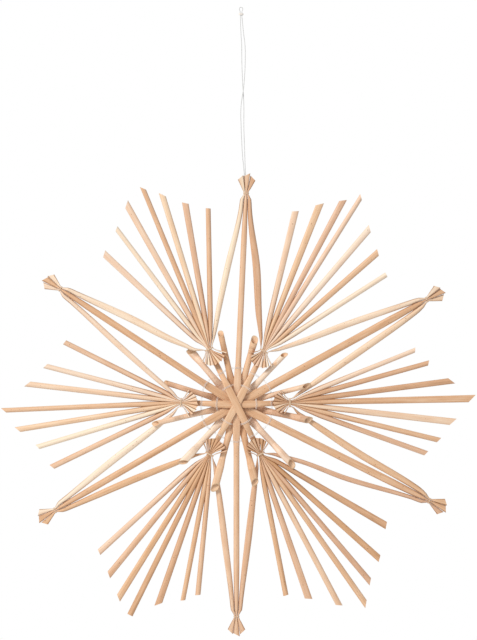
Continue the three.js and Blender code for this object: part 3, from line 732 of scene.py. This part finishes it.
def spoke_arm(hour, layer):
    bearing, radius, wide = TIPS[hour]
    diameter = arm_diameter(hour)
    return [
        *(row_station(bearing, layer, diameter, SPOKE_ROUND_Y, row) for row in SPOKE_ROWS),
        Station(polar(ARM_ROUND_RADIUS, bearing, SPOKE_ROUND_Y), wide, ARM_DEPTH),
        Station(polar(radius - ARM_TAPER, bearing), wide, ARM_DEPTH),
        Station(polar(radius - SIDE_BY_SIDE, bearing), wide * SIDE_BY_SIDE_SHARE, ARM_DEPTH),
        Station(polar(radius - NECK, bearing), NECK_WIDTH, NECK_DEPTH),
        Station(polar(radius - HALF_TIE, bearing), TIE_WIDTH, TIE_DEPTH),
        Station(polar(radius + HALF_TIE, bearing), TIE_WIDTH, TIE_DEPTH),
        Station(polar(radius + BLADE_FOOT, bearing), BLADE_FOOT_WIDTH, BLADE_FOOT_DEPTH),
        Station(polar(radius + BLADE_LENGTH, bearing), BLADE_WIDTH, FLAT, BLADE_SLANT),
    ]


def make_straw(name, stations, mouths, diameter, ripeness, finishes, slot, fold_shade_lengths=(0, 0)):
    """A straw that is a piece of its own and stands for the solid of its name."""
    loft = Loft(STRAW_SIDES)
    rings = straw_rings(stations, mouths)
    loft.add(rings, diameter / 2, grain_start(name), toned(name, ripeness), fold_shade_lengths=fold_shade_lengths)
    return loft.finish(name + "_straw", finishes, name, slot)


def make_spokes(finishes):
    mouths = (SPOKE_MOUTH, SPOKE_MOUTH)
    for hours, layer, ripeness in SPOKES:
        first, second = (spoke_arm(hour, layer) for hour in hours)
        diameter = sum(arm_diameter(hour) for hour in hours) / 2
        stations = across_the_middle(first, second, hub_middle(layer, diameter))
        name = f"spoke_{hours[0]}_{hours[1]}"
        make_straw(name, stations, mouths, diameter, ripeness, finishes, "straw", ARM_FOLD_SHADE)


def crossbar_arm(hour, layer):
    bearing, radius = FANS[hour][:2]
    return [
        *(row_station(bearing, layer, CROSSBAR_DIAMETER, CROSSBAR_ROUND_Y, row) for row in CROSSBAR_ROWS),
        *(Station(polar(radius + along, bearing, y), wide, deep) for along, y, wide, deep in CROSSBAR_ENDS),
    ]


def make_crossbars(finishes):
    mouths = (CROSSBAR_MOUTH, CROSSBAR_MOUTH)
    for hours, layer, ripeness in CROSSBARS:
        first, second = (crossbar_arm(hour, layer) for hour in hours)
        stations = across_the_middle(first, second, hub_middle(layer, CROSSBAR_DIAMETER))
        name = f"crossbar_{hours[0]}_{hours[1]}"
        make_straw(name, stations, mouths, CROSSBAR_DIAMETER, ripeness, finishes, "straw")


def tube_round_y(layer):
    return TUBE_ROUND_Y + TUBE_SPREAD * layer * LAYER


def tube_diameter(wide):
    return min(max(wide, TUBE_LEAST_DIAMETER), TUBE_MOST_DIAMETER)


def tube_rows(diameter):
    return FLAT_ROW, PRESSED_ROW, (TUBE_ROUND_RADIUS, ROUNDNESS * diameter, 1)


def tube_arm(end, layer):
    bearing, radius, wide, end_y, slant, opening = end
    diameter = tube_diameter(wide)
    deep = min(pressed(diameter, wide), TUBE_DEPTH)
    return [
        *(row_station(bearing, layer, diameter, tube_round_y(layer), row) for row in tube_rows(diameter)),
        Station(polar(TUBE_BEHIND_RADIUS, bearing, TUBE_BEHIND_Y), min(wide, diameter), deep),
        Station(polar(min(TUBE_FREE_RADIUS, radius - TUBE_MOUTH_RUN), bearing, end_y), wide, deep),
        Station(polar(radius, bearing, end_y), wide, deep, slant, opening / deep),
    ]


def make_tubes(finishes):
    mouths = (TUBE_MOUTH, TUBE_MOUTH)
    for layer, ripeness, ends in TUBES:
        first, second = (tube_arm(end, layer) for end in ends)
        stations = across_the_middle(first, second, hub_middle(layer, TUBE_MIDDLE_DIAMETER))
        named_bearing = round(ends[0][0] / TUBE_NAME_STEP) * TUBE_NAME_STEP
        name = f"short_tube_{named_bearing:03d}"
        make_straw(name, stations, mouths, TUBE_MIDDLE_DIAMETER, ripeness, finishes, "pale_straw")


def short_end(hour, place, bulk):
    """A straw's short end beside the fan's tie, at a place counted from the fan's axis, positive on
    the left. The ends spread evenly from the axis to the edge straw's on each side."""
    bearing, radius, (left_turn, left_length, right_turn, right_length), _ = FANS[hour]
    turn, length = (left_turn, left_length) if place > 0 else (-right_turn, right_length)
    share = min(abs(place) / EDGE_PLACE, 1)
    angle = math.radians(turn * share)
    reach = FLARE_LENGTH + (length - FLARE_LENGTH) * share ** 2
    room = PLEAT + reach * math.radians(abs(turn)) / EDGE_PLACE
    out = heading(bearing)
    aside = left_of(out) * (reach * math.sin(angle) + place * PLEAT)
    at = polar(radius, bearing) - out * (reach * math.cos(angle)) + aside
    return Station(at_depth(at, FLARE_Y), room * bulk, FLARE_DEPTH, FLARE_SLANT * (1 if place > 0 else -1))


def in_fan_tie(hour, place, along=0):
    """A straw's middle in its fan's tie."""
    bearing, radius = FANS[hour][:2]
    out = heading(bearing)
    return polar(radius, bearing) + left_of(out) * (place * PLEAT) + out * along


def free_straw(hour, index):
    """The stations of one of a fan's seven free straws."""
    bearing, radius, _, straws = FANS[hour]
    toward, reach, mouth, slant, _ = straws[index]
    others = [straws[i][0] for i in (index - 1, index + 1) if 0 <= i < len(straws)]
    spread = math.radians(sum(abs(other - toward) for other in others) / len(others))
    place = (len(straws) - 1) / 2 - index
    start = in_fan_tie(hour, place)
    end = polar(radius, bearing) + heading(toward) * reach
    bulk = PLEAT_FUSION if len(others) == 2 else OUTER_FLARE_SHARE
    stations = [short_end(hour, place, bulk), Station(start, PLEAT * PLEAT_FUSION, TIED_PLEAT_DEPTH)]
    for distance in FREE_PLACES:
        wide = min(FREE_DIAMETER, (PLEAT + distance * spread) * PLEAT_FUSION)
        at = at_depth(start.lerp(end, distance / (end - start).length), FREE_Y)
        stations.append(Station(at, wide, min(pressed(FREE_DIAMETER, wide), FREE_DEPTH)))
    stations.append(Station(end, mouth, min(pressed(FREE_DIAMETER, mouth), FREE_DEPTH), slant))
    return stations


def make_fans(finishes):
    for hour, (_, _, _, straws) in FANS.items():
        loft = Loft(STRAW_SIDES)
        for index, straw in enumerate(straws):
            name = f"fan_{hour}_{index}"
            rings = straw_rings(free_straw(hour, index), (FREE_SHORT_MOUTH, FREE_MOUTH))
            loft.add(rings, FREE_DIAMETER / 2, grain_start(name), toned(name, straw[-1]), fold_shade_lengths=FREE_FOLD_SHADE)
        loft.finish(f"fan_{hour}_straws", finishes, f"fan_{hour}", "pale_straw")


def edge_straw(hour, tip):
    """The stations of the outermost straw of a fan, on to the tie of the tip beside it."""
    wide, bow, _ = EDGES[hour, tip]
    bearing = FANS[hour][0]
    tip_bearing, tip_radius, arm_wide = TIPS[tip]
    side = 1 if (tip_bearing - bearing) % 360 < 180 else -1
    place = side * EDGE_TIED_PLACE
    tip_left = left_of(heading(tip_bearing))

    def by_tip(along, offset, y=0.0):
        return at_depth(polar(tip_radius + along, tip_bearing) - tip_left * (side * offset), y)

    start = in_fan_tie(hour, place)
    end = by_tip(-HALF_TIE, TIE_PITCH)
    length = (end - start).length
    chord = (end - start).normalized()
    outward = left_of(chord) * -side

    def bowed(distance, offset, y):
        return at_depth(start + chord * distance + outward * offset, y)

    crossing_y = EDGE_FRONT_Y if (hour, tip) in EDGES_IN_FRONT else EDGE_BACK_Y
    near, far = EDGE_PLACES
    crossing_bow = bow[0] + (bow[1] - bow[0]) * (EDGE_CROSSING - near) / (far - near)
    beside = min(wide, arm_wide) * SIDE_BY_SIDE_SHARE
    arm = arm_wide * SIDE_BY_SIDE_SHARE
    blade_foot = by_tip(BLADE_FOOT, BLADE_FOOT_WIDTH, side * BLADE_FOOT_Y)
    blade_end = by_tip(SIDE_BLADE_LENGTH, SIDE_BLADE_REACH, side * SIDE_BLADE_Y)
    return [
        short_end(hour, place, EDGE_FLARE_SHARE),
        Station(in_fan_tie(hour, place, -HALF_TIE / 2), PLEAT, TIED_PLEAT_DEPTH),
        Station(in_fan_tie(hour, place, HALF_TIE / 2), PLEAT, TIED_PLEAT_DEPTH),
        Station(bowed(near, bow[0], crossing_y), EDGE_WIDTHS[0], EDGE_DEPTH),
        Station(bowed(EDGE_CROSSING, crossing_bow, crossing_y), EDGE_WIDTHS[1], EDGE_DEPTH),
        Station(bowed(far, bow[1], crossing_y), wide * EDGE_FAR_SHARE, EDGE_DEPTH),
        Station(bowed(length / 2, bow[2], crossing_y / 2), wide, EDGE_DEPTH),
        Station(by_tip(-SIDE_BY_SIDE, (beside + arm) / 2 + TIP_GAP), beside, EDGE_DEPTH),
        Station(by_tip(-NECK, NECK_WIDTH + TIP_GAP), NECK_WIDTH, NECK_DEPTH),
        Station(end, TIE_WIDTH, SIDE_TIE_DEPTH),
        Station(by_tip(HALF_TIE, TIE_PITCH), TIE_WIDTH, SIDE_TIE_DEPTH),
        Station(blade_foot, BLADE_FOOT_WIDTH, BLADE_FOOT_DEPTH),
        Station(blade_end, SIDE_BLADE_WIDTH, FLAT, side * BLADE_SLANT),
    ]


def make_edge_straws(finishes):
    mouths = (EDGE_SHORT_MOUTH, EDGE_MOUTH)
    for (hour, tip), (wide, _, ripeness) in EDGES.items():
        name = f"edge_straw_{hour}_{tip}"
        diameter = (wide + EDGE_DEPTH) / 2
        make_straw(name, edge_straw(hour, tip), mouths, diameter, ripeness, finishes, "straw", EDGE_FOLD_SHADE)


# Threads.


def thread_rings(points, thickness, reference, closed=False):
    """Rings of a thread along points. reference gives a direction across it at each point."""
    rings = []
    distance = 0.0
    count = len(points)
    for i, point in enumerate(points):
        before = points[i - 1] if i or closed else point
        after = points[(i + 1) % count] if i + 1 < count or closed else point
        tangent = (after - before).normalized()
        other = reference(point).cross(tangent).normalized()
        across = tangent.cross(other).normalized()
        rings.append(Ring(point, across * (thickness / 2), other * (thickness / 2), distance))
        distance += (after - point).length
    return rings


def wound_points(centre, direction, half, turns, pitch):
    """A winding round a bundle of a half width and half depth, which starts and ends behind it."""
    half_wide, half_deep = half
    across = left_of(direction)
    steps = 28
    squareness = 0.6
    points = []
    for i in range(int(turns * steps) + 1):
        turn = math.pi / 2 + 2 * math.pi * i / steps
        x = math.copysign(abs(math.cos(turn)) ** squareness, math.cos(turn))
        y = math.copysign(abs(math.sin(turn)) ** squareness, math.sin(turn))
        along = (i / steps - turns / 2) * pitch
        points.append(centre + across * (half_wide * x) + DEPTH * (half_deep * y) + direction * along)
    return points


def make_tie(name, centre, direction, half, turns, finish):
    loft = Loft(THREAD_SIDES)
    points = wound_points(centre, direction, half, turns, WOUND_PITCH)
    rings = thread_rings(points, WOUND_THREAD, lambda point: direction)
    loft.add(rings, WOUND_THREAD / 2, grain_start(name))
    loft.finish(name + "_thread", [finish], name, "thread")


def make_ties(finish):
    for hour, (bearing, radius, _, _) in FANS.items():
        centre = polar(radius, bearing, TIED_Y)
        half = ((EDGE_TIED_PLACE + 0.5) * PLEAT + GAP, TIED_PLEAT_DEPTH / 2 + TIED_Y + GAP)
        make_tie(f"fan_tie_{hour}", centre, heading(bearing), half, FAN_TIE_TURNS, finish)
    for hour, (bearing, radius, _) in TIPS.items():
        centre = polar(radius, bearing)
        half = (TIE_PITCH + TIE_WIDTH / 2 + WOUND_THREAD / 2, TIE_DEPTH / 2 + WOUND_THREAD / 2)
        make_tie(f"tip_tie_{hour}", centre, heading(bearing), half, TIP_TIE_TURNS, finish)


Crossing = namedtuple("Crossing", "bearing radius y half_wide half_deep side")


def crossing(bearing, layer, diameter, round_y, row, side):
    """A straw's crossing with the thread that passes it at a row, in front (-1) or behind (1)."""
    station = row_station(bearing, layer, diameter, round_y, row)
    return Crossing(bearing % 360, row[0], station.at.y, station.wide / 2, station.deep / 2, side)


def from_the_middle(point):
    return at_depth(point - polar(0, 0), 0)


def weave_points(passed, offset):
    """A closed line round the middle, in front of some straws and behind the others."""
    clear = GAP / 2 + HUB_THREAD / 2
    shoulder_share = 0.6
    least_step = 0.4
    step = 2.5
    passed = sorted(passed)
    rows = []

    def slit(crossed, other, y):
        away = (other.bearing - crossed.bearing + 180) % 360 - 180
        radius = (crossed.radius + other.radius) / 2
        apart = radius * math.radians(abs(away))
        share = (apart + crossed.half_wide - other.half_wide) / (2 * apart)
        return crossed.bearing + away * share, radius, y

    for i, crossed in enumerate(passed):
        shoulder_y = crossed.y + crossed.side * (shoulder_share * crossed.half_deep + clear)
        crest_y = crossed.y + crossed.side * (crossed.half_deep + clear)
        rows.append(slit(crossed, passed[i - 1], shoulder_y))
        rows.append((crossed.bearing, crossed.radius, crest_y))
        rows.append(slit(crossed, passed[(i + 1) % len(passed)], shoulder_y))
    first, last = rows[0], rows[-1]
    rows = [(last[0] - 360, *last[1:]), *rows, (first[0] + 360, *first[1:])]
    bearings, radii, depths = (list(column) for column in zip(*rows))
    for i in range(1, len(bearings)):
        bearings[i] = max(bearings[i], bearings[i - 1] + least_step)
    wanted = np.arange(bearings[1], bearings[1] + 360, step)
    places = zip(wanted, eased(bearings, radii, wanted), eased(bearings, depths, wanted))
    return [polar(radius + offset, bearing, y) for bearing, radius, y in places]


def make_weaves(finish):
    inner, outer = [], []
    for hours, layer, _ in SPOKES:
        for hour in hours:
            place = (TIPS[hour][0], layer, arm_diameter(hour), SPOKE_ROUND_Y)
            inner.append(crossing(*place, PRESSED_ROW, 1))
            outer.append(crossing(*place, SPOKE_ROWS[-1], -1))
    for hours, layer, _ in CROSSBARS:
        for hour in hours:
            place = (FANS[hour][0], layer, CROSSBAR_DIAMETER, CROSSBAR_ROUND_Y)
            inner.append(crossing(*place, PRESSED_ROW, -1))
            outer.append(crossing(*place, CROSSBAR_ROWS[-1], -1))
    for layer, _, ends in TUBES:
        for bearing, _, wide, *_ in ends:
            diameter = tube_diameter(wide)
            outer.append(crossing(bearing, layer, diameter, tube_round_y(layer), tube_rows(diameter)[-1], 1))
    for name, passed in (("hub_thread_inner", inner), ("hub_thread_outer", outer)):
        loft = Loft(THREAD_SIDES)
        for offset in (-HUB_THREAD_PITCH, HUB_THREAD_PITCH):
            points = weave_points(passed, offset)
            rings = thread_rings(points, HUB_THREAD, from_the_middle, closed=True)
            loft.add(rings, HUB_THREAD / 2, grain_start(name), closed=True)
        loft.finish(name + "_thread", [finish], name, "thread")


def make_loop(finish, knot_finish):
    curve = bpy.data.curves.new("hanging_loop_thread", "CURVE")
    curve.dimensions = "3D"
    curve.bevel_depth = LOOP_DIAMETER / 2
    curve.bevel_resolution = 3
    curve.use_fill_caps = True
    spline = curve.splines.new("BEZIER")
    spline.resolution_u = 6
    spline.bezier_points.add(len(LOOP_ROUTE) - 1)
    for point, place in zip(spline.bezier_points, LOOP_ROUTE):
        point.co = place
        point.handle_left_type = "AUTO"
        point.handle_right_type = "AUTO"
    curve.materials.append(finish)
    loop = bpy.data.objects.new("hanging_loop_thread", curve)
    bpy.context.collection.objects.link(loop)
    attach(loop, "root")
    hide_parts("hanging_loop")

    loft = Loft(THREAD_SIDES)
    up = Vector((0, 0, 1))
    points = wound_points(Vector((0, 0, KNOT_Z)), up, KNOT_HALF, KNOT_TURNS, KNOT_THREAD)
    rings = thread_rings(points, KNOT_THREAD, lambda point: up)
    loft.add(rings, KNOT_THREAD / 2, start=0)
    knot = loft.finish("loop_knot_thread", [knot_finish], "loop_knot", "thread")


# Studio.


def make_floor():
    mesh = bmesh.new()
    bmesh.ops.create_grid(mesh, x_segments=1, y_segments=1, size=FLOOR_SIZE / 2)
    bmesh.ops.translate(mesh, verts=mesh.verts, vec=(0, 0, FLOOR_Z))
    data = bpy.data.meshes.new("floor")
    mesh.to_mesh(data)
    mesh.free()
    finish = Finish("floor_paper")
    place = finish.node("ShaderNodeTexCoord", output="Object")
    mottle = finish.noise(place, (30.0, 30.0, 30.0), detail=3.0)
    colour = finish.ramp(mottle, ((0.3, (0.86, 0.86, 0.85)), (0.7, (0.9, 0.9, 0.89))))
    data.materials.append(finish.surface(colour, roughness=0.8, height=mottle, depth=0.0002))
    floor = bpy.data.objects.new("floor", data)
    bpy.context.collection.objects.link(floor)


def make_world():
    """A white backdrop for the camera, and a softer, dimmer white for the light."""
    world = bpy.data.worlds.new("studio")
    bpy.context.scene.world = world
    world.use_nodes = True
    nodes, links = world.node_tree.nodes, world.node_tree.links
    nodes.clear()
    seen = nodes.new("ShaderNodeBackground")
    seen.inputs["Color"].default_value = (1, 1, 1, 1)
    light = nodes.new("ShaderNodeBackground")
    light.inputs["Color"].default_value = (0.97, 0.98, 1, 1)
    light.inputs["Strength"].default_value = WORLD_LIGHT
    path = nodes.new("ShaderNodeLightPath")
    mix = nodes.new("ShaderNodeMixShader")
    output = nodes.new("ShaderNodeOutputWorld")
    links.new(path.outputs["Is Camera Ray"], mix.inputs[0])
    links.new(light.outputs[0], mix.inputs[1])
    links.new(seen.outputs[0], mix.inputs[2])
    links.new(mix.outputs[0], output.inputs["Surface"])


def make_lamp(name, place, size, power):
    data = bpy.data.lights.new(name, "AREA")
    data.shape = "SQUARE"
    data.size = size
    data.energy = power
    data.color = (1, 0.98, 0.95)
    lamp = bpy.data.objects.new(name, data)
    lamp.location = place
    lamp.rotation_euler = (FRAME_MIDDLE - lamp.location).to_track_quat("-Z", "Y").to_euler()
    bpy.context.collection.objects.link(lamp)


def make_studio():
    bpy.context.scene.view_settings.view_transform = "Standard"
    make_floor()
    make_world()
    make_lamp("key_lamp", LAMP_PLACE, LAMP_SIZE, LAMP_POWER)


make_camera()
pale_thread = wound_thread_finish("pale_thread", (0.84, 0.76, 0.68), (1, 0.97, 0.93))
straw_thread = wound_thread_finish("straw_thread", (0.7, 0.46, 0.28), (0.95, 0.78, 0.58))
make_loop(loop_thread_finish(), pale_thread)
straws = [straw_finish("straw_skin", 0.8), cut_finish(), lining_finish()]
make_spokes(straws)
make_crossbars(straws)
make_tubes(straws)
make_fans(straws)
make_edge_straws(straws)
make_ties(straw_thread)
make_weaves(pale_thread)
make_studio()
